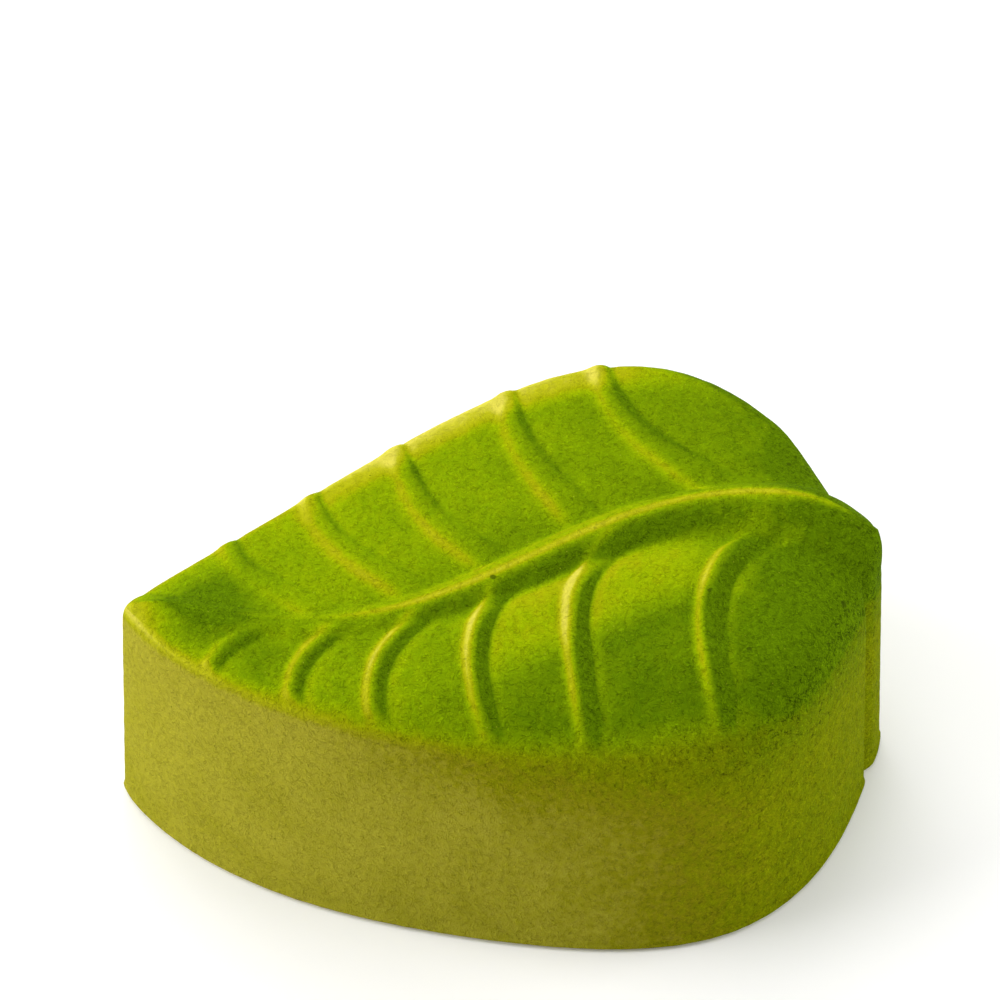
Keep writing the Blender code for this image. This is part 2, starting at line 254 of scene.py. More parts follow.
@dataclass(frozen=True)
class SideVeins:
    """The side veins: ridges with a short flank towards the tip, and a slope and a groove towards the stem.

    tipward is the half width of the short flank, and fall_power says how late the slope drops. bend is how
    far a vein keeps its angles at its ends, and merging how near to the midrib it fades, in its half widths.
    """

    paths: tuple[VeinPath, ...] = (
        VeinPath(Side.FRONT, 0.878, 0.752, 28, 102, Span(0.0031, 0.0017)),
        VeinPath(Side.FRONT, 0.696, 0.577, 28, 92, Span(0.0026, 0.0016)),
        VeinPath(Side.FRONT, 0.506, 0.467, 57, 106, Span(0.0022, 0.0014)),
        VeinPath(Side.FRONT, 0.405, 0.324, 46, 102, Span(0.0020, 0.0014)),
        VeinPath(Side.FRONT, 0.292, 0.224, 40, 102, Span(0.0018, 0.0012)),
        VeinPath(Side.FRONT, 0.202, 0.118, 22, 102, Span(0.0018, 0.0012)),
        VeinPath(Side.BACK, 0.818, 0.666, 43, 94, Span(0.0046, 0.0012)),
        VeinPath(Side.BACK, 0.612, 0.536, 63, 94, Span(0.0043, 0.0012)),
        VeinPath(Side.BACK, 0.504, 0.375, 33, 82, Span(0.0038, 0.0012)),
        VeinPath(Side.BACK, 0.394, 0.263, 43, 93, Span(0.0034, 0.0012)),
        VeinPath(Side.BACK, 0.271, 0.152, 46, 94, Span(0.0030, 0.0012)),
    )
    bend: float = 0.42
    overrun: float = 0.008
    points: int = 49
    rise: BySide = BySide(0.0006, 0.00018)
    tipward: BySide = BySide(0.0007, 0.0011)
    fall_power: BySide = BySide(2.3, 3.0)
    groove_depth: BySide = BySide(0.00022, 0.00004)
    groove_half_width: float = 0.0010
    size_at_rim: BySide = BySide(0.90, 2.60)
    size_at_tip: float = 0.5
    merging: float = 0.85
    front_slopes: Span = Span(math.radians(15), math.radians(52))
    rim_fade: Span = Span(0.4, 1.0)

    def line(self, path: VeinPath, plan: LeafPlan, midrib: Midrib) -> Array:
        """Line of one vein, from the midrib to beyond the rim, as a cubic curve in plan.

        Args:
            path: The vein.
            plan: The outline that it runs to.
            midrib: The midrib that it starts from.

        Returns:
            The curve's points in plan, one a row.
        """
        side = path.side.value
        start = midrib.line(path.joint, plan.length)
        end = plan.point(path.rim, side)
        reach = self.bend * np.linalg.norm(end - start)
        leaving, arriving = (
            np.array([-math.cos(angle), side * math.sin(angle)])
            for angle in (math.radians(path.leaving), math.radians(path.arriving))
        )
        way = np.linspace(0, 1, self.points)[:, None]
        line = (
            start * (1 - way) ** 3
            + 3 * (start + reach * leaving) * way * (1 - way) ** 2
            + 3 * (end - reach * arriving) * way**2 * (1 - way)
            + end * way**3
        )
        return np.vstack([line, end + self.overrun * arriving])

    def over(
        self, points: Array, side: Array, plan: LeafPlan, midrib: Midrib, panel_reach: float
    ) -> tuple[Array, Array, Array]:
        """What all the veins do to the surface.

        Args:
            points: Places in plan.
            side: The side that each is on.
            plan: The outline that the veins run to.
            midrib: The midrib that they start from.
            panel_reach: How far a panel takes to climb from the foot of a vein.

        Returns:
            The veins' height, the depth of the grooves at their feet, and how far each panel has climbed.
        """
        height, groove = np.zeros((2, len(points)))
        climbed = np.ones(len(points))
        for path in self.paths:
            away_left, way = distance(points, self.line(path, plan, midrib))
            vein_side = path.side.value
            stemward = -vein_side * away_left
            slope = path.slope.blend(way)
            size = Span(self.size_at_tip, 1).blend(path.joint)
            tip_side = ridge(stemward, self.tipward.at(vein_side))
            fallen = np.clip(stemward / slope, 0, 1) ** float(self.fall_power.at(vein_side))
            rise = size * self.rise.at(vein_side)
            height = np.maximum(height, rise * np.where(stemward < 0, tip_side, 1 - fallen))
            depth = size * self.groove_depth.at(vein_side)
            groove = np.maximum(groove, depth * ridge(stemward - slope, self.groove_half_width))
            foot = fallen * ridge(np.maximum(stemward - slope, 0), panel_reach)
            climbed = np.where(side == vein_side, climbed * (1 - foot), climbed)
        return height, groove, climbed


@dataclass(frozen=True)
class LeafForm:
    """The cake's whole form: outline, walls, rounded edge, domed top, midrib, side veins and panels between.

    The panels lie like shingles: each dips at the stemward foot of a vein and climbs over panel_reach.
    union_power joins the midrib and the veins: the higher it is, the less they add up where they meet.
    """

    plan: LeafPlan = LeafPlan()
    midrib: Midrib = Midrib()
    veins: SideVeins = SideVeins()
    tip_height: float = 0.02875
    stem_height: float = 0.0322
    stem_sag: float = 0.0023
    stem_sag_span: Span = Span(0.90, 1.0)
    wall_lean: float = math.radians(3.0)
    tip_radius: float = 0.0024
    back_radius: float = 0.0024
    front_radius: float = 0.0068
    stem_radius: float = 0.0056
    front_edge_span: Span = Span(0.15, 0.75)
    back_edge_span: Span = Span(0.0, 0.3)
    stem_edge_start: BySide = BySide(0.80, 0.90)
    spine: Span = Span(0.075, 0.865)
    spine_rise: Span = Span(0.0012, 0.0002)
    spine_settled: Span = Span(0.0, 0.6)
    spine_power: float = 0.75
    fan_bend: float = 0.13
    least_facing: float = 0.5
    shoulder_tilt: float = math.radians(28)
    shoulder_width: Span = Span(0.0, 0.0120)
    shoulder_room: float = 0.8
    shoulder_span: Span = Span(0.15, 0.75)
    shoulder_end: Span = Span(0.72, 0.93)
    shoulder_turn: float = 0.0030
    panel_rise: BySide = BySide(0.0015, 0.0006)
    panel_dip: BySide = BySide(0.22, 0.18)
    panel_reach: float = 0.0040
    panel_start: Span = Span(0.05, 0.45)
    panel_end: Span = Span(0.85, 1.0)
    midrib_reach: float = 0.0028
    union_power: int = 4
    top_slopes: Span = Span(math.radians(25), math.radians(80))
    lip_out: float = 0.00016
    lip_height: float = 0.00065
    lip_half_height: float = 0.00035
    lip_undercut: float = 0.0004
    foot_rows: int = 8
    foot_height: float = 0.0013
    wall_rows: int = 38
    edge_rows: int = 20
    top_rows: int = 102

    def edge_height(self, part: Array) -> Array:
        """Height of the top where the rounded edge ends. It rises from the tip and sags at the stem."""
        rise = Span(self.tip_height, self.stem_height).blend(np.sin(np.pi / 2 * part))
        return rise - self.stem_sag * self.stem_sag_span.fade(part)

    def edge_radius(self, part: Array, side: Array) -> Array:
        """Radius of the top edge: crisp along the back, soft at the wide front and at the stem.

        Args:
            part: Parts of the length.
            side: The side of each.

        Returns:
            The radius at each point.
        """
        front = Span(self.tip_radius, self.front_radius).blend(self.front_edge_span.fade(part))
        back = Span(self.tip_radius, self.back_radius).blend(self.back_edge_span.fade(part))
        radius = np.where(side < 0, front, back)
        return Span(radius, self.stem_radius).blend(Span(self.stem_edge_start.at(side), 1).fade(part))

    def shoulder(self, inside: Array, room: Array, part: Array, side: Array) -> tuple[Array, Array]:
        """The broad shoulder by which the front of the top falls towards its rounded edge.

        Args:
            inside: Distance in from where the edge begins to round.
            room: That distance at the spine.
            part: Part of the length.
            side: The side that each point is on.

        Returns:
            How far the shoulder lies below the flat top, and its slope as a rise over a run.
        """
        width = self.shoulder_width.blend(self.shoulder_span.fade(part))
        width = np.minimum(width * (1 - self.shoulder_end.fade(part)), self.shoulder_room * room) + MERGE
        steep = np.where(side < 0, math.tan(self.shoulder_tilt), 0) * (1 - ridge(width, self.shoulder_turn))
        past = np.clip(1 - inside / width, 0, 1)
        return steep * width * past**2 / 2, steep * past

    def middle(self) -> Array:
        """Middle of the outline's box, which the cake is centred on."""
        outline = self.plan.point(*self.plan.stations(self.plan.fine_points))
        return (outline.min(axis=0) + outline.max(axis=0)) / 2

    def panel_height(self, part: Array, side: Array) -> Array:
        """Rise of the panels between the veins. The tip and the stem end have none."""
        return self.panel_rise.at(side) * self.panel_start.fade(part) * (1 - self.panel_end.fade(part))

    def relief(self, points: Array, part: Array, side: Array, tilt: Array, across: float) -> Array:
        """How far the surface stands out from the smooth form.

        Args:
            points: Places in plan.
            part: Part of the length at which each point's ray from the outline starts.
            side: The side that each is on.
            tilt: The surface's slope there.
            across: From 0 at the midrib to 1 where the edge begins to round.

        Returns:
            The height of the relief at each point.
        """
        plan, midrib, veins = self.plan, self.midrib, self.veins
        on_top = 1 - self.top_slopes.fade(tilt)
        along = np.clip(points[:, 0] / plan.length + 0.5, 0, 1)
        at_stem = midrib.wall_span.fade(part)
        to_left = distance(points, midrib.whole(plan.length))[0]
        width = midrib.width(along, to_left)
        rib = midrib.height(along, to_left, at_stem, on_top)
        side_ridge, side_groove, climbed = veins.over(points, side, plan, midrib, self.panel_reach)
        weight = np.where(side < 0, 1 - veins.front_slopes.fade(tilt), on_top)
        weight = weight * Span(1, veins.size_at_rim.at(side)).blend(veins.rim_fade.fade(across))
        weight = weight * (1 - ridge(to_left, veins.merging * width))
        power = self.union_power
        veins_and_rib = (rib**power + (weight * side_ridge) ** power) ** (1 / power)
        panel = self.panel_height(part, side) * (1 - across**2)
        panel = panel * (1 - self.panel_dip.at(side) * (1 - climbed))
        panel = panel * on_top * (1 - ridge(np.maximum(np.abs(to_left) - width, 0), self.midrib_reach))
        return veins_and_rib + panel - weight * side_groove - midrib.wall_groove(to_left, at_stem, on_top)

    def lip(self, height: float) -> float:
        """How far the thin lip at the wall's foot stands out at this height, and tucks in on the floor."""
        bead = self.lip_out * math.exp(-(((height - self.lip_height) / self.lip_half_height) ** 2))
        return bead - self.lip_undercut * (1 - float(Span(0, self.lip_height).fade(height)))

    def rings(self, count: int) -> Array:
        """Rings of points from the base up the wall, over the edge and across the top to the spine.

        Args:
            count: Points in each ring.

        Returns:
            An array of rows, points and coordinates, with the origin below the middle of the cake.
        """
        part, side = self.plan.stations(count)
        base = self.plan.point(part, side)
        along = np.roll(base, -1, axis=0) - np.roll(base, 1, axis=0)
        normal = np.stack([along[:, 1], -along[:, 0]], axis=-1)
        normal = normal / np.linalg.norm(normal, axis=1, keepdims=True)
        opposite = part[-np.arange(count)]
        spine_part = self.spine.blend(((part + opposite) / 2) ** self.spine_power)
        inward = self.midrib.line(spine_part, self.plan.length) - base
        reach = np.linalg.norm(inward, axis=1)
        inward = inward / reach[:, None]
        sideways = np.stack([-normal[:, 1], normal[:, 0]], axis=-1)
        sideways = sideways * (side * self.fan_bend * reach * np.sin(np.pi * part))[:, None]
        facing = np.maximum(-(inward * normal).sum(axis=1), self.least_facing)
        radius = self.edge_radius(part, side)
        level = self.edge_height(part)
        room = reach - radius / facing
        drop, steep = self.shoulder(0, room, part, side)
        rim = level - drop
        lean = math.tan(self.wall_lean)
        spine_rise = self.spine_rise.blend(self.spine_settled.fade(spine_part))
        dome = self.edge_height(spine_part) + spine_rise - level
        rise = dome + self.panel_height(part, side)
        doming = 2 * rise / (reach - (rim * lean + radius) / facing)
        slope = np.arctan(doming + steep)
        centre_height = rim - radius * np.cos(slope)
        centre_inset = centre_height * lean + radius / math.cos(self.wall_lean)

        def ring(inset: Array, height: Array, tilt: Array, across: float = 1, out_more: float = 0) -> Array:
            """One ring, with the relief laid on along the surface's normal.

            Args:
                inset: How far inside the base outline each point is.
                height: Height of each.
                tilt: The surface's slope there.
                across: From 0 at the midrib to 1 where the edge begins to round.
                out_more: How much farther the ring stands out.

            Returns:
                The ring's points, one a row.
            """
            way = inset / facing / reach
            bend = (4 * way * (1 - way)) ** 2
            points = base + inward * (way * reach)[:, None] + sideways * bend[:, None]
            out = self.relief(points, part, side, tilt, across)
            points = points + normal * (out * np.sin(tilt) + out_more)[:, None]
            return np.column_stack([points, height + out * np.cos(tilt)])

        wall_tilt = math.pi / 2 - self.wall_lean + 0 * part
        wall_top = centre_height + radius * np.cos(wall_tilt)
        made = []
        for row in range(self.foot_rows):
            height = self.foot_height * row / self.foot_rows
            made.append(ring(height * lean, height + 0 * part, wall_tilt, out_more=self.lip(height)))
        made[0][:, 2] = 0
        for row in range(self.wall_rows):
            height = Span(self.foot_height, wall_top).blend(row / self.wall_rows)
            made.append(ring(height * lean, height, wall_tilt))
        for row in range(self.edge_rows):
            tilt = Span(wall_tilt, slope).blend(row / self.edge_rows)
            inset = centre_inset - radius * np.sin(tilt)
            made.append(ring(inset, centre_height + radius * np.cos(tilt), tilt))
        inset = centre_inset - radius * np.sin(slope)
        for row in range(self.top_rows + 1):
            across = 1 - row / self.top_rows
            inset_there = Span(reach * facing, inset).blend(across)
            drop, steep = self.shoulder((inset_there - inset) / facing, room, part, side)
            height = level + dome * (1 - across**2) - drop
            made.append(ring(inset_there, height, np.arctan(doming * across + steep), across))
        rings = np.stack(made)
        middle = (rings.min(axis=(0, 1)) + rings.max(axis=(0, 1))) / 2
        rings[..., :2] -= middle[:2]
        return rings


def rows_of(items: Any, name: str, size: int, kind: type = float) -> Array:
    """Reads a property of a mesh's items into rows.

    Args:
        items: The vertices, normals or edges.
        name: The property.
        size: How many values each item has.
        kind: The type of a value.

    Returns:
        One row for each item.
    """
    values = np.empty(len(items) * size, kind)
    items.foreach_get(name, values)
    return values.reshape(-1, size)


@dataclass(frozen=True)
class Patch:
    """A round patch of the top where the spray lies thicker by this much; here it paints shade on low places
    near the tip that slope away from the light.
    """

    x: float
    y: float
    radius: float
    more: float

    def thicker(self, place: Array) -> Array:
        """By how much the spray is thicker at these places."""
        return self.more * ridge(np.hypot(place[:, 0] - self.x, place[:, 1] - self.y), self.radius)


@dataclass(frozen=True)
class WallSpray:
    """The thin spray on the walls. It is thicker where they face its source, and just below the top."""

    direction: Place = (0.97, -0.24, 0.0)
    amount: Span = Span(0.12, 0.56)
    facing: Span = Span(-0.25, 1.0)
    overspray: float = 0.32
    overspray_depth: Span = Span(-0.013, -0.002)
    overspray_span: Span = Span(0.20, 0.62)

    def thickness(self, normal: Array, part: Array, above: Array) -> Array:
        """Thickness of the spray on a wall.

        Args:
            normal: The surface's normals, one a row.
            part: Parts of the length.
            above: Height of each point over the edge of the top.

        Returns:
            The thickness at each point.
        """
        caught = self.amount.blend(self.facing.fade(normal @ np.array(self.direction)))
        return caught + self.overspray * self.overspray_depth.fade(above) * self.overspray_span.fade(part)


@dataclass(frozen=True)
class FrontPanels:
    """The spray on the front panels, which also carries painted light and shade: thick at the midrib's foot
    as painted shade on its front flank, thin beside it as painted light on the panels' upper parts, and thick
    at rim and stem as painted shade on the slopes that face the front.
    """

    thick_shade_at_foot: float = 0.14
    foot: Span = Span(0.0008, 0.0020)
    foot_end: Span = Span(0.0030, 0.0048)
    amount: Span = Span(-0.22, 0.12)
    thin_lit_to_thick_shaded: Span = Span(0.0105, 0.0165)
    stem_start: Span = Span(0.70, 0.85)
    at_tip: float = 0.08
    tip_end: Span = Span(0.38, 0.54)

    def more(self, to_left: Array, part: Array) -> Array:
        """By how much the spray is thicker, which paints shade, or thinner, which paints light.

        Args:
            to_left: Signed distance from the midrib, below zero on the front.
            part: Parts of the length.

        Returns:
            The added thickness at each point, below zero where there is less of it.
        """
        # Painted shade: thicker spray along the midrib's front foot and down the panels towards the rim and
        # stem; painted light: thinner spray just below the foot.
        thick = np.maximum(self.thin_lit_to_thick_shaded.fade(-to_left), self.stem_start.fade(part))
        foot = self.thick_shade_at_foot * self.foot.fade(-to_left)
        panel = Span(foot, self.amount.blend(thick)).blend(self.foot_end.fade(-to_left))
        return Span(np.where(to_left < 0, self.at_tip, 0), panel).blend(self.tip_end.fade(part))


@dataclass(frozen=True)
class PaleLinesAndHighlights:
    """Where the spray lies thin and the colour is pale: the midrib's crest, and the side veins' tipward
    flanks near the midrib. This is partly thin spray and partly a painted highlight on the crest and on
    flanks turned to the left lamp.

    bare is the half width of such a line, and loss is how much is missing at its middle.
    """

    midrib_loss: float = 0.54
    midrib_bare: float = 0.0006
    midrib_span: Span = Span(0.22, 0.40)
    vein_loss: BySide = BySide(0.34, 0.30)
    vein_bare: BySide = BySide(0.0007, 0.0010)
    vein_start: Span = Span(0.04, 0.16)
    vein_fade: Span = Span(0.25, 0.85)
    vein_span: Span = Span(0.15, 0.30)
    front_vein_end: Span = Span(0.58, 0.70)
    less_at_end: float = 0.7

    def on_midrib(self, away: Array, part: Array) -> Array:
        """How much spray is missing on the midrib at these distances from its line, which paints a highlight
        on its crest.
        """
        return self.midrib_loss * ridge(away, self.midrib_bare) * self.midrib_span.fade(part)

    def on_vein(self, side: Side, away: Array, way: Array, part: Array) -> Array:
        """How much spray is missing beside a side vein, which paints a highlight on its flank that faces the
        tip and the left lamp.

        Args:
            side: The vein's side.
            away: Signed distance of each point from the vein's line.
            way: How far along the line its nearest place is.
            part: Parts of the length.

        Returns:
            The missing thickness at each point.
        """
        bare = float(self.vein_bare.at(side.value))
        loss = float(self.vein_loss.at(side.value)) * ridge(bare - side.value * away, bare)
        loss = loss * self.vein_start.fade(way) * (1 - self.less_at_end * self.vein_fade.fade(way))
        loss = loss * self.vein_span.fade(part)
        if side is Side.FRONT:
            loss = loss * (1 - self.less_at_end * self.front_vein_end.fade(part))
        return loss


@dataclass(frozen=True)
class BackRim:
    """The pale band inside the back rim: partly spray that hardly reached it, partly painted light where the
    rim faces the lamp behind.
    """

    loss: float = 0.58
    reach: Span = Span(0.0090, 0.0040)
    start: Span = Span(0.20, 0.38)
    end: Span = Span(0.60, 0.86)

    def missing(self, from_back: Array, part: Array) -> Array:
        """How much is missing at these distances from the back outline."""
        return self.loss * self.reach.fade(from_back) * self.start.fade(part) * (1 - self.end.fade(part))


@dataclass(frozen=True)
class SprayCoat:
    """How thickly the green spray lies: thick on the top and thin on the walls below it. On the top its
    colour also
    carries painted light and shade: a painted highlight on crests and painted shade in hollows.

    direction is the level way that the spray came from, so the faces that look that way caught more of it and
    are painted darker. As the key lamp stands on the other side, this is partly real spray and partly painted
    shade, and the faces turned to the key lamp are paler as painted light.
    to_stem is by how much it grows thicker over the top for each metre to the stem.
    The top gives way to the walls at edge_depth below its edge, which is deeper towards the stem.
    """

    walls: WallSpray = WallSpray()
    front_panels: FrontPanels = FrontPanels()
    lines: PaleLinesAndHighlights = PaleLinesAndHighlights()
    back_rim: BackRim = BackRim()
    painted_shade_patches: tuple[Patch, ...] = (
        Patch(-0.0335, -0.0050, 0.0050, 0.48),
        Patch(-0.0300, 0.0012, 0.0040, 0.10),
        Patch(-0.0288, -0.0145, 0.0042, 0.20),
    )
    direction: Place = (1.0, 0.0, 0.0)
    on_top: float = 0.83
    spray_and_shade_gain: float = 1.3
    spray_and_shade_power: float = 1.3
    to_stem: float = 2.2
    crest_reach: int = 8
    crest_highlight_hollow_shade: float = 600.0
    most_crest: float = 0.28
    edge_depth: Span = Span(0.0019, 0.0047)
    edge_span: Span = Span(0.05, 0.55)
    edge_turn: float = 0.25
    least_at_edge: float = 0.48
    edge_fall: Span = Span(0.0, 0.0016)
    batches: int = 120

    def thickness(self, mesh: bpy.types.Mesh, form: LeafForm) -> tuple[Array, Array]:
        """Thickness of the spray at each vertex, from 0 for thin to 1 for thick. On the top it also carries
        painted light and painted shade.

        Args:
            mesh: The finished mesh.
            form: The form that it was modelled on.

        Returns:
            The thickness at each vertex, and whether it lies on the top (1) or on a wall (0).
        """
        place, normal = rows_of(mesh.vertices, "co", 3), rows_of(mesh.vertex_normals, "vector", 3)
        part = np.clip(place[:, 0] / form.plan.length + 0.5, 0, 1)
        above = place[:, 2] - form.edge_height(part)
        from_back = form.plan.point(part, Side.BACK.value)[:, 1] - form.middle()[1] - place[:, 1]
        # Faces turned towards the stem, away from the left key lamp, get thicker, darker spray and faces
        # turned to it get thinner, paler spray: partly real spray, partly painted light and shade.
        toward = normal @ np.array(self.direction)
        on_top = self.on_top + self.spray_and_shade_gain * np.sign(toward) * np.abs(toward) ** self.spray_and_shade_power
        on_top = on_top + self.to_stem * place[:, 0] - self.missing(place, part, form)
        # Darker patches near the tip: painted shade on low places that slope away from the light.
        on_top = on_top + sum(patch.thicker(place) for patch in self.painted_shade_patches)
        # Crests lose spray and hollows gain it: a painted highlight along crests and painted shade in
        # hollows.
        crest = self.crests(mesh, place, normal) * self.crest_highlight_hollow_shade
        on_top = on_top - np.clip(crest, -self.most_crest, self.most_crest)
        on_top = np.maximum(on_top, self.least_at_edge * self.edge_fall.fade(-above))
        # Paler band inside the back rim: partly thin spray, partly painted light where the rim faces the lamp
        # behind.
        on_top = on_top - self.back_rim.missing(from_back, part)
        depth = self.edge_depth.blend(self.edge_span.fade(part))
        top = Span(-depth, -self.edge_turn * depth).fade(above)
        return Span(self.walls.thickness(normal, part, above), on_top).blend(top), top

    def crests(self, mesh: bpy.types.Mesh, place: Array, normal: Array) -> Array:
        """How far each vertex stands out from the mesh when that is smoothed.

        Args:
            mesh: The finished mesh.
            place: Its vertices, one a row.
            normal: Their normals.

        Returns:
            The height of each vertex, below zero in a hollow.
        """
        pairs = rows_of(mesh.edges, "vertices", 2, np.int32)
        near = np.bincount(pairs.ravel(), minlength=len(place))[:, None]
        softened = place
        for _ in range(self.crest_reach):
            total = np.zeros_like(place)
            np.add.at(total, pairs[:, 0], softened[pairs[:, 1]])
            np.add.at(total, pairs[:, 1], softened[pairs[:, 0]])
            softened = (softened + total / near) / 2
        return ((place - softened) * normal).sum(axis=1)

    def missing(self, place: Array, part: Array, form: LeafForm) -> Array:
        """How much less spray lies along the midrib and the veins and on the front panels. This also paints
        highlights on crests and lit flanks and, where it is below zero, shade on the front panels.

        Args:
            place: The mesh's vertices, one a row.
            part: Their parts of the length.
            form: The form that they were modelled on.

        Returns:
            The missing thickness at each vertex, below zero where there is more of it.
        """
        points = place[:, :2] + form.middle()
        midrib = form.midrib.whole(form.plan.length)
        veins = [(path.side, form.veins.line(path, form.plan, form.midrib)) for path in form.veins.paths]
        missing = np.zeros(len(place))
        high = np.flatnonzero(place[:, 2] > form.tip_height - self.edge_depth.end)
        for rows in np.array_split(high, self.batches):
            away, _ = distance(points[rows], midrib)
            # Paler lines: thin spray and painted highlights on the midrib's crest and the veins' lit flanks.
            pale_and_lit = self.lines.on_midrib(away, part[rows])
            for side, line in veins:
                loss = self.lines.on_vein(side, *distance(points[rows], line), part[rows])
                pale_and_lit = np.maximum(pale_and_lit, loss)
            # Below zero on the front panels: more spray there, painted as shade on the midrib's front foot
            # and the lower panels.
            missing[rows] = pale_and_lit - self.front_panels.more(away, part[rows])
        return missing


@dataclass(frozen=True)
class Wire:
    """A value in a material's nodes. Python expressions on wires add Math nodes."""

    nodes: "Nodes"
    socket: Any

    def maths(self, operation: str, first: Any, second: Any = 0.0) -> "Wire":
        """One Math node on these two values."""
        return self.nodes.add("ShaderNodeMath", {"operation": operation}, {0: first, 1: second})

    def __add__(self, other: Any) -> "Wire":
        """Sum."""
        return self.maths("ADD", self, other)

    __radd__ = __add__

    def __sub__(self, other: Any) -> "Wire":
        """Difference."""
        return self.maths("SUBTRACT", self, other)

    def __rsub__(self, other: Any) -> "Wire":
        """Difference from a number."""
        return self.maths("SUBTRACT", other, self)

    def __mul__(self, other: Any) -> "Wire":
        """Product."""
        return self.maths("MULTIPLY", self, other)

    __rmul__ = __mul__

    def fade(self, start: float, end: float) -> "Wire":
        """Smooth step.

        Args:
            start: The value at which it is 0, which may be the higher one.
            end: The value at which it is 1.

        Returns:
            The step's wire.
        """
        if start > end:
            return 1 - self.fade(end, start)
        inputs = {"Value": self, "From Min": start, "From Max": end}
        return self.nodes.add("ShaderNodeMapRange", {"interpolation_type": "SMOOTHSTEP"}, inputs)


class Nodes:
    """The nodes of one material, which ends in one Principled shader."""

    def __init__(self, name: str) -> None:
        """Starts a material without nodes.

        Args:
            name: The material's name.
        """
        self.material = bpy.data.materials.new(name)
        self.material.use_nodes = True
        self.tree = self.material.node_tree
        self.tree.nodes.clear()

    def add(self, kind: str, settings: dict[str, Any], inputs: dict[Any, Any], output: Any = 0) -> Wire:
        """Adds a node.

        Args:
            kind: The node's type.
            settings: Its properties, set before its sockets.
            inputs: Values or wires, by the socket's name or number.
            output: Name or number of the socket that the wire leaves from.

        Returns:
            The wire that leaves it.
        """
        node = self.tree.nodes.new(kind)
        for key, value in settings.items():
            setattr(node, key, value)
        for key, value in inputs.items():
            if isinstance(value, Wire):
                self.tree.links.new(value.socket, node.inputs[key])
            else:
                node.inputs[key].default_value = value
        return Wire(self, node.outputs[output])

    def place(self) -> Wire:
        """Object coordinates."""
        return self.add("ShaderNodeTexCoord", {}, {}, "Object")

    def attribute(self, name: str) -> Wire:
        """A value that the mesh holds at its vertices."""
        return self.add("ShaderNodeAttribute", {"attribute_name": name}, {}, "Fac")

    def distance(self, place: Wire, other: Place) -> Wire:
        """Distance to another place."""
        return self.add("ShaderNodeVectorMath", {"operation": "DISTANCE"}, {0: place, 1: other}, "Value")

    def ramp(self, factor: Wire, stops: Stops) -> Wire:
        """Colour ramp.

        Args:
            factor: What runs along it.
            stops: Its positions and their colours.

        Returns:
            The colour's wire.
        """
        made = self.add("ShaderNodeValToRGB", {}, {"Fac": factor}, "Color")
        elements = made.socket.node.color_ramp.elements
        elements[0].position, elements[1].position = stops[0][0], stops[-1][0]
        elements[0].color, elements[1].color = (*stops[0][1], 1), (*stops[-1][1], 1)
        for position, colour in stops[1:-1]:
            elements.new(position).color = (*colour, 1)
        return made

    def mix(self, factor: Any, first: Any, second: Any, blend: str = "MIX") -> Wire:
        """Mixes two colours.

        Args:
            factor: How much of the second there is.
            first: The first colour, or its wire.
            second: The second.
            blend: How they mix.

        Returns:
            The mixed colour's wire.
        """
        colours = [(*value, 1) if isinstance(value, tuple) else value for value in (first, second)]
        settings = {"data_type": "RGBA", "blend_type": blend}
        return self.add("ShaderNodeMix", settings, {0: factor, 6: colours[0], 7: colours[1]}, 2)

    def finish(self, inputs: dict[str, Any]) -> bpy.types.Material:
        """Ends the material in a Principled shader.

        Args:
            inputs: Values or wires of the shader, by the socket's name.

        Returns:
            The material.
        """
        shader = self.add("ShaderNodeBsdfPrincipled", {}, inputs, "BSDF")
        output = self.tree.nodes.new("ShaderNodeOutputMaterial")
        self.tree.links.new(shader.socket, output.inputs["Surface"])
        return self.material


@dataclass(frozen=True)
class Noise:
    """A noise whose patches are about this size in metres. Its seed sets it apart from the others."""

    size: float
    seed: float = 0.0
    detail: float = 2.0
    distortion: float = 0.0

    def wire(self, nodes: Nodes, place: Wire) -> Wire:
        """The noise, whose mean is 0.5.

        Args:
            nodes: The material's nodes.
            place: Where on the surface.

        Returns:
            Its wire.
        """
        inputs = {"Vector": place, "W": self.seed, "Scale": 1 / self.size}
        inputs.update({"Detail": self.detail, "Distortion": self.distortion})
        return nodes.add("ShaderNodeTexNoise", {"noise_dimensions": "4D"}, inputs, "Fac")

    def about_zero(self, nodes: Nodes, place: Wire) -> Wire:
        """The noise, less its mean."""
        return self.wire(nodes, place) - 0.5


@dataclass(frozen=True)
class Strokes:
    """Short thin squiggles. width is a part of the noise's range, and core the share of it that is full."""

    size: float = 0.00055
    width: float = 0.05
    core: float = 0.2
    wave: float = 0.5
    gap_size: float = 1.3
    gaps: tuple[float, float] = (0.42, 0.58)

    def mask(self, nodes: Nodes, place: Wire, seed: float) -> Wire:
        """Draws the squiggles.

        Args:
            nodes: The material's nodes.
            place: Where on the surface.
            seed: Sets these squiggles apart from others.

        Returns:
            1 along them and 0 between.
        """
        away = Noise(self.size, seed, 1, self.wave).about_zero(nodes, place)
        lines = away.maths("ABSOLUTE", away).fade(self.width, self.core * self.width)
        gaps = Noise(self.gap_size * self.size, seed + 0.5, detail=0)
        return lines * gaps.wire(nodes, place).fade(*self.gaps)


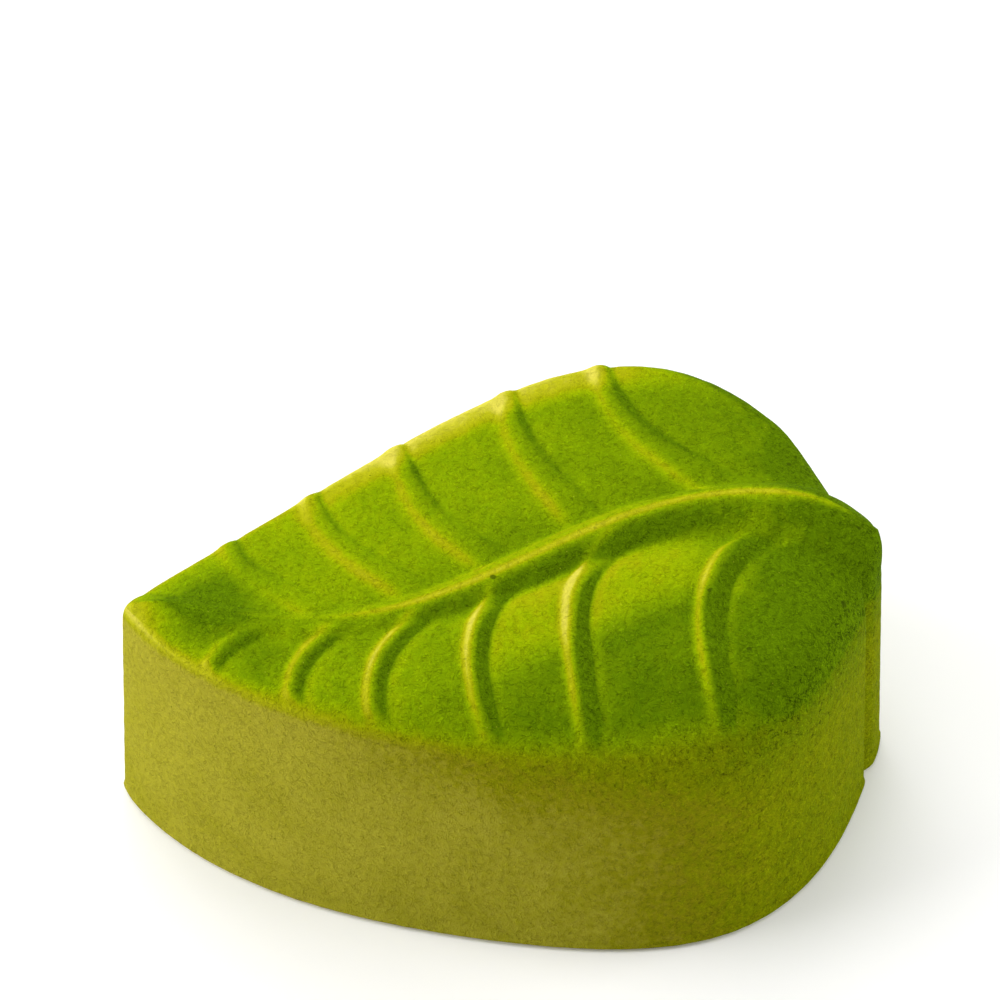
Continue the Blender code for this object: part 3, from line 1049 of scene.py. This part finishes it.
@dataclass(frozen=True)
class Dots:
    """Small round dots scattered over the surface: a share of the cells of this spacing hold one.

    core is the share of a dot's radius that is full, strength is how well it covers, and pick_step is the
    width of the step that picks the cells.
    """

    colour: Colour
    spacing: float
    radius: float
    share: float
    strength: float
    core: float = 0.4
    pick_step: float = 0.001

    def over(self, nodes: Nodes, place: Wire, colour: Wire) -> Wire:
        """Lays the dots over a colour.

        Args:
            nodes: The material's nodes.
            place: Where on the surface.
            colour: The colour beneath.

        Returns:
            The dotted colour's wire.
        """
        cells = {"Vector": place, "Scale": 1 / self.spacing}
        away = nodes.add("ShaderNodeTexVoronoi", {}, cells, "Distance")
        tint = Wire(nodes, away.socket.node.outputs["Color"])
        pick = nodes.add("ShaderNodeSeparateColor", {}, {"Color": tint})
        picked = pick.fade(1 - self.share, 1 - self.share + self.pick_step)
        dots = away.fade(self.radius / self.spacing, self.core * self.radius / self.spacing)
        return nodes.mix(dots * picked * self.strength, colour, self.colour)


@dataclass(frozen=True)
class Speck:
    """A dark speck of spray at a place of its own. core is the share of its radius that is full."""

    place: Place
    radius: float
    core: float = 0.6

    def mask(self, nodes: Nodes, place: Wire) -> Wire:
        """1 in the speck and 0 round it."""
        return nodes.distance(place, self.place).fade(self.radius, self.core * self.radius)


@dataclass(frozen=True)
class VelvetFinish:
    """Matcha velvet: cream mousse shows yellow where the green spray is thin, and fine grain covers it all.

    A share says how much a noise changes the spray's thickness, a shade how much it changes the colour's
    lightness, and a height how much it stands out. wall_shade makes the shades stronger on walls.
    """

    top_stops: Stops = (
        (0.00, (0.66, 0.600, 0.070)),
        (0.25, (0.46, 0.460, 0.010)),
        (0.45, (0.348, 0.374, 0.002)),
        (0.62, (0.276, 0.378, 0.0006)),
        (0.80, (0.190, 0.300, 0.0006)),
        (1.00, (0.100, 0.185, 0.0006)),
    )
    wall_stops: Stops = (
        (0.00, (0.42, 0.385, 0.034)),
        (0.12, (0.38, 0.350, 0.026)),
        (0.30, (0.262, 0.257, 0.005)),
        (0.50, (0.222, 0.262, 0.001)),
        (1.00, (0.110, 0.195, 0.0006)),
    )
    cloud: Noise = Noise(0.006, 1)
    cloud_share: float = 0.24
    patch: Noise = Noise(0.0010, 2, distortion=0.6)
    patch_share: float = 0.16
    patch_shade: float = 0.30
    patch_height: float = 1.5
    grain: Noise = Noise(0.00028, 3, distortion=1.2)
    grain_share: float = 0.14
    grain_shade: float = 0.90
    grain_height: float = 0.00020
    strokes: Strokes = Strokes()
    stroke_seeds: tuple[float, float] = (4, 6)
    stroke_shade: float = 0.20
    stroke_height: float = 0.3
    mottle: Noise = Noise(0.0009, 8, 3, 0.4)
    mottle_range: tuple[float, float] = (-0.12, 0.12)
    mottle_middle: float = 0.35
    mottle_share: float = 0.11
    mottled: tuple[float, float] = (0.08, 0.30)
    shade_thin: float = 0.35
    wall_shade: float = 2.4
    light_dots: Dots = Dots((0.50, 0.52, 0.04), 0.0010, 0.00010, 0.35, 0.4)
    dark_dots: Dots = Dots((0.07, 0.12, 0.001), 0.0017, 0.00016, 0.25, 0.6)
    specks: tuple[Speck, ...] = (
        Speck((-0.0016, -0.0055, 0.0325), 0.00042),
        Speck((0.0249, -0.0194, 0.0325), 0.00036),
        Speck((0.0216, -0.0112, 0.0338), 0.00030),
        Speck((0.0337, 0.0108, 0.0318), 0.00034),
        Speck((0.0302, 0.0071, 0.0327), 0.00026),
        Speck((0.0396, -0.0021, 0.0332), 0.00028),
        Speck((0.0359, -0.0073, 0.0314), 0.00028),
        Speck((0.0367, -0.0110, 0.0302), 0.00050),
        Speck((0.0372, -0.0114, 0.0295), 0.00030),
        Speck((0.0327, -0.0223, 0.0235), 0.00030),
    )
    speck_colour: Colour = (0.045, 0.075, 0.0015)
    speck_strength: float = 0.75
    roughness: float = 0.9
    gloss: float = 0.01

    def material(self) -> bpy.types.Material:
        """Builds the material, which reads from the mesh how thick the spray is and what lies on the top.

        Returns:
            The material.
        """
        nodes = Nodes("matcha_velvet_spray")
        place = nodes.place()
        # The spray attribute holds real spray thickness and also painted light and shade: pale on crests and
        # lit flanks, dark in hollows and on slopes turned from the lamps.
        spray, top = nodes.attribute("spray"), nodes.attribute("top")
        cloud = self.cloud.about_zero(nodes, place)
        patch = self.patch.about_zero(nodes, place)
        grain = self.grain.about_zero(nodes, place)
        light, dark = (self.strokes.mask(nodes, place, seed) for seed in self.stroke_seeds)
        cover = spray + cloud * self.cloud_share + patch * self.patch_share + grain * self.grain_share
        mottle = self.mottle.about_zero(nodes, place).fade(*self.mottle_range) - self.mottle_middle
        wall_cover = cover + mottle * spray.fade(*self.mottled) * self.mottle_share
        colour = nodes.mix(top, nodes.ramp(wall_cover, self.wall_stops), nodes.ramp(cover, self.top_stops))
        shade = grain * self.grain_shade + patch * self.patch_shade + (light - dark) * self.stroke_shade
        shade = shade * (spray * (self.wall_shade + top * (1 - self.wall_shade)) + self.shade_thin)
        colour = nodes.mix(1.0, colour, 1 + shade, "MULTIPLY")
        colour = self.light_dots.over(nodes, place, colour)
        colour = self.dark_dots.over(nodes, place, colour)
        for speck in self.specks:
            colour = nodes.mix(speck.mask(nodes, place) * self.speck_strength, colour, self.speck_colour)
        height = grain + patch * self.patch_height + (light - dark) * self.stroke_height
        bump = nodes.add("ShaderNodeBump", {}, {"Height": height, "Distance": self.grain_height}, "Normal")
        return nodes.finish(
            {
                "Base Color": colour,
                "Roughness": self.roughness,
                "Specular IOR Level": self.gloss,
                "Normal": bump,
            }
        )


@dataclass(frozen=True)
class FloorFinish:
    """Plain pale floor, matt, with the faintest cloudiness, lit a little from below like a light table."""

    light: Colour = (0.90, 0.895, 0.885)
    dark: Colour = (0.88, 0.875, 0.865)
    glow: float = 0.15
    cloud: Noise = Noise(0.3)
    roughness: float = 0.6

    def material(self) -> bpy.types.Material:
        """Builds the material.

        Returns:
            The material.
        """
        nodes = Nodes("pale_floor")
        colour = nodes.mix(self.cloud.wire(nodes, nodes.place()), self.light, self.dark)
        return nodes.finish(
            {
                "Base Color": colour,
                "Roughness": self.roughness,
                "Specular IOR Level": 0.0,
                "Emission Color": colour,
                "Emission Strength": self.glow,
            }
        )


@dataclass
class LeafCake:
    """The cake itself, one piece that stands for the plain solid of the frame."""

    name: str = "matcha_leaf_mousse"
    form: LeafForm = field(default_factory=LeafForm)
    spray: SprayCoat = field(default_factory=SprayCoat)
    finish: VelvetFinish = field(default_factory=VelvetFinish)
    points_round: int = 560
    lump_size: float = 0.0016
    lump_detail: int = 2
    lump_height: float = 0.00010
    sharp_angle: float = math.radians(60)

    def build(self) -> bpy.types.Object:
        """Models the cake, sprays it, hangs it on the root body and hides the plain solid that it stands for.

        Returns:
            The finished piece.
        """
        piece = self.shape()
        self.roughen(piece)
        self.dress(piece)
        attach(piece, "root")
        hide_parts("leaf_cake")
        return piece

    def shape(self) -> bpy.types.Object:
        """Lays a grid, draws it over the form, closes its seam and spine, and fills the base.

        Returns:
            The piece, still without lumps and bare.
        """
        rings = self.form.rings(self.points_round)
        rows = len(rings)
        bpy.ops.object.select_all(action="DESELECT")
        bpy.ops.mesh.primitive_grid_add(x_subdivisions=self.points_round, y_subdivisions=rows - 1, size=1)
        piece = bpy.context.object
        piece.name = piece.data.name = self.name
        flat = rows_of(piece.data.vertices, "co", 3)
        column = np.rint((flat[:, 0] + 0.5) * self.points_round).astype(int) % self.points_round
        row = np.rint((flat[:, 1] + 0.5) * (rows - 1)).astype(int)
        piece.data.vertices.foreach_set("co", rings[row, column].ravel())
        bpy.ops.object.mode_set(mode="EDIT")
        bpy.ops.mesh.select_all(action="SELECT")
        bpy.ops.mesh.remove_doubles(threshold=MERGE)
        bpy.ops.mesh.select_all(action="DESELECT")
        bpy.ops.mesh.select_mode(type="EDGE")
        bpy.ops.mesh.select_non_manifold()
        bpy.ops.mesh.edge_face_add()
        bpy.ops.mesh.select_all(action="SELECT")
        bpy.ops.mesh.normals_make_consistent(inside=False)
        bpy.ops.object.mode_set(mode="OBJECT")
        return piece

    def roughen(self, piece: bpy.types.Object) -> None:
        """Gives the surface its small lumps, and leaves the base flat.

        Args:
            piece: The modelled piece.
        """
        above = piece.vertex_groups.new(name="above_floor")
        heights = rows_of(piece.data.vertices, "co", 3)[:, 2]
        above.add(np.flatnonzero(heights > MERGE).tolist(), 1.0, "REPLACE")
        lumps = bpy.data.textures.new("lumps", "CLOUDS")
        lumps.noise_scale = self.lump_size
        lumps.noise_depth = self.lump_detail
        displace = piece.modifiers.new("lumps", "DISPLACE")
        displace.texture = lumps
        displace.texture_coords = "LOCAL"
        displace.strength = self.lump_height
        displace.vertex_group = above.name
        bpy.ops.object.modifier_apply(modifier=displace.name)
        bpy.data.textures.remove(lumps)
        piece.vertex_groups.clear()

    def dress(self, piece: bpy.types.Object) -> None:
        """Shades the piece smooth, writes the spray's thickness, which also carries painted light and shade,
        on it and gives it its velvet finish.

        Args:
            piece: The modelled piece.
        """
        bpy.ops.object.shade_smooth_by_angle(angle=self.sharp_angle)
        for name, values in zip(("spray", "top"), self.spray.thickness(piece.data, self.form)):
            piece.data.attributes.new(name, "FLOAT", "POINT").data.foreach_set("value", values)
        piece.data.materials.append(self.finish.material())


@dataclass(frozen=True)
class Lamp:
    """A square softbox that faces the cake. Its azimuth runs from +X over +Y, and its angles are in degrees.

    light is the light that it throws on the cake, as a share of what makes a white sheet facing it white.
    """

    name: str
    azimuth: float
    elevation: float
    distance: float
    size: float
    light: float

    def build(self) -> None:
        """Adds the lamp to the scene."""
        azimuth, elevation = math.radians(self.azimuth), math.radians(self.elevation)
        level = math.cos(elevation)
        way = Vector((math.cos(azimuth) * level, math.sin(azimuth) * level, math.sin(elevation)))
        data = bpy.data.lights.new(self.name, "AREA")
        data.shape = "SQUARE"
        data.size = self.size
        data.energy = self.light * (math.pi * self.distance) ** 2
        lamp = bpy.data.objects.new(self.name, data)
        lamp.location = way * self.distance
        lamp.rotation_euler = way.to_track_quat("Z", "Y").to_euler()
        bpy.context.scene.collection.objects.link(lamp)


@dataclass
class Studio:
    """Pale floor, soft light from the left and behind, white surroundings, and the camera."""

    floor_size: float = 6.0
    eye: Place = (-0.03038, -0.32562, 0.33327)
    elevation: float = math.radians(42.0)
    turn: float = math.radians(-5.2772)
    lens: float = 144.0
    sensor: float = 36.0
    lamps: tuple[Lamp, ...] = (
        Lamp("left_softbox", azimuth=175.0, elevation=27.0, distance=1.2, size=0.9, light=0.93),
        Lamp("back_softbox", azimuth=96.0, elevation=38.0, distance=1.6, size=1.4, light=0.64),
        Lamp("overhead_softbox", azimuth=200.0, elevation=80.0, distance=1.8, size=1.5, light=0.38),
        Lamp("right_softbox", azimuth=2.0, elevation=24.0, distance=1.6, size=1.2, light=0.62),
    )
    world_colour: Colour = (1.0, 0.995, 0.985)
    world_strength: float = 0.15

    def build(self) -> bpy.types.Object:
        """Sets up everything that isn't the cake.

        Returns:
            The floor.
        """
        floor = self.lay_floor()
        self.light()
        self.place_camera()
        bpy.context.scene.view_settings.view_transform = "Standard"
        return floor

    def lay_floor(self) -> bpy.types.Object:
        """Lays the floor, which isn't part of the cake.

        Returns:
            The floor.
        """
        bpy.ops.object.select_all(action="DESELECT")
        bpy.ops.mesh.primitive_plane_add(size=self.floor_size, location=(0, 0, 0))
        floor = bpy.context.object
        floor.name = "floor"
        floor.data.materials.append(FloorFinish().material())
        return floor

    def light(self) -> None:
        """Adds the lamps and the white surroundings."""
        for lamp in self.lamps:
            lamp.build()
        world = bpy.data.worlds.new("white_room")
        world.use_nodes = True
        background = world.node_tree.nodes["Background"]
        background.inputs["Color"].default_value = (*self.world_colour, 1)
        background.inputs["Strength"].default_value = self.world_strength
        bpy.context.scene.world = world

    def place_camera(self) -> None:
        """Places the camera at the photograph's viewing angle."""
        data = bpy.data.cameras.new("camera")
        data.sensor_width = self.sensor
        data.lens = self.lens
        camera = bpy.data.objects.new("camera", data)
        camera.location = self.eye
        camera.rotation_euler = (math.pi / 2 - self.elevation, 0, self.turn)
        bpy.context.scene.collection.objects.link(camera)
        bpy.context.scene.camera = camera


def report(piece: bpy.types.Object) -> None:
    """Logs a finished piece, its number of faces and its size in millimetres.

    Args:
        piece: The piece.
    """
    size = " x ".join(f"{1000 * side:.2f}" for side in piece.dimensions)
    LOG.info("%s: %d faces, %s mm", piece.name, len(piece.data.polygons), size)


def main() -> None:
    """Builds the studio and the cake."""
    logging.basicConfig(level=logging.INFO, format="%(message)s")
    report(Studio().build())
    report(LeafCake().build())


if __name__ == "__main__":
    main()
